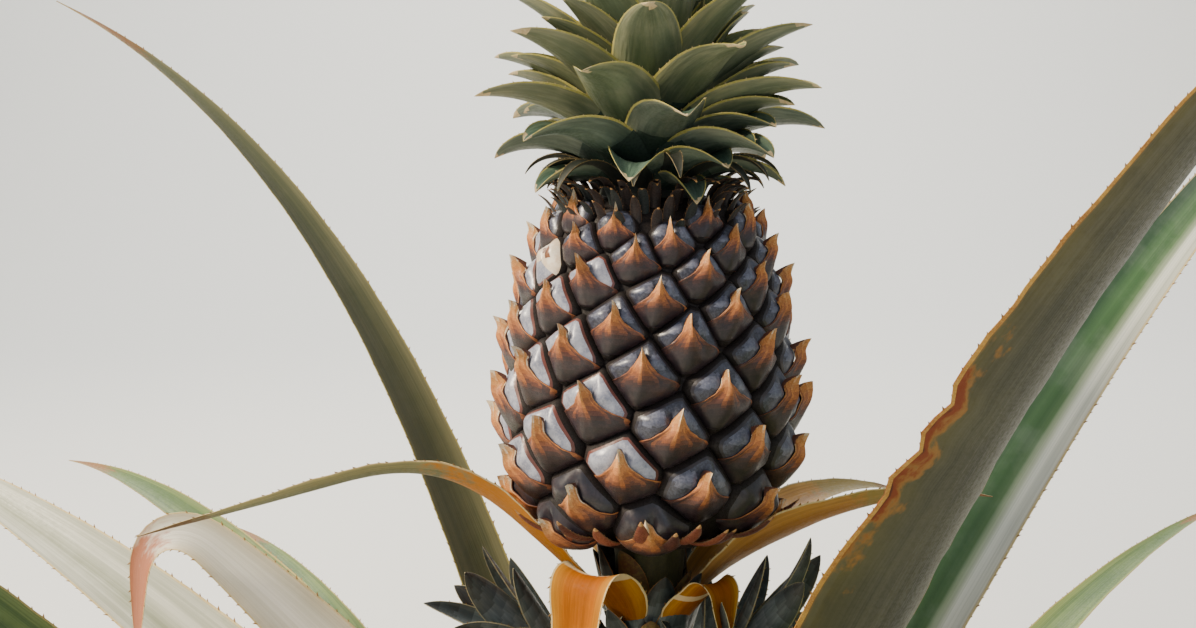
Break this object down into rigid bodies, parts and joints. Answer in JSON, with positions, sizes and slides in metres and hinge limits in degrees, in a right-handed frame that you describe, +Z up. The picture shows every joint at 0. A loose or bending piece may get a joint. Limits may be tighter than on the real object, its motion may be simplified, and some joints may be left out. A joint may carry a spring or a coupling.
{
  "type": "pineapple plant",
  "caption": "Fruiting pineapple plant: short club-shaped stem, rosette of long channelled leaves, bare peduncle with leafy slips, ripening fruit and leafy crown.",
  "frame": {"origin": "centre of the flat cut under the stem, at ground level", "axes": "+Z up along the stem; +Y away from the viewer of the picture; +X to the viewer's right"},
  "size_m": [0.9359, 0.9149, 0.7471],
  "materials": {
    "bark": "rough, ringed with leaf scars",
    "peduncle": "fibrous",
    "fruit": "waxy, with papery bract tips",
    "crown_leaf": "matt leaf with a pale bloom",
    "slip_leaf": "matt leaf with a pale bloom",
    "folded_leaf": "dry leaf",
    "pale_leaf": "satin leaf with a pale bloom",
    "rosette_leaf": "satin leaf",
    "dry_leaf": "dry, papery"
  },
  "bodies": {
    "root": {"stem": "bark", "peduncle": "peduncle", "fruit": "fruit", "crown": "crown_leaf", "slip_left": "slip_leaf", "slip_right": "slip_leaf", "slip_back": "slip_leaf", "bract_left_long": "folded_leaf", "bract_front_left": "folded_leaf", "bract_front_right": "folded_leaf", "bract_right": "folded_leaf", "bract_back_right": "folded_leaf", "bract_back_left": "folded_leaf", "leaf_right_big": "pale_leaf", "leaf_right_nested": "pale_leaf", "leaf_left_silver": "pale_leaf", "leaf_left_green": "pale_leaf", "leaf_left_bent_rise": "pale_leaf", "leaf_left_bent_fall": "pale_leaf", "leaf_left_peach_rise": "pale_leaf", "leaf_left_peach_fall": "pale_leaf", "leaf_back_left_rise": "pale_leaf", "leaf_back_left_fall": "pale_leaf", "leaf_00": "dry_leaf", "leaf_01": "dry_leaf", "leaf_02": "dry_leaf", "leaf_03": "dry_leaf", "leaf_04": "dry_leaf", "leaf_05": "rosette_leaf", "leaf_06": "rosette_leaf", "leaf_07": "rosette_leaf", "leaf_08": "rosette_leaf", "leaf_09": "rosette_leaf", "leaf_10": "rosette_leaf", "leaf_11": "rosette_leaf", "leaf_12": "rosette_leaf", "leaf_13": "rosette_leaf", "leaf_14": "rosette_leaf", "leaf_15": "rosette_leaf", "leaf_16": "rosette_leaf", "leaf_17": "rosette_leaf", "leaf_18": "rosette_leaf", "leaf_20": "rosette_leaf", "leaf_21": "rosette_leaf", "leaf_22": "rosette_leaf", "leaf_25": "rosette_leaf", "leaf_30": "rosette_leaf", "leaf_32": "rosette_leaf", "skirt_1": "dry_leaf", "skirt_2": "dry_leaf", "skirt_3": "dry_leaf"}
  },
  "joints": []
}
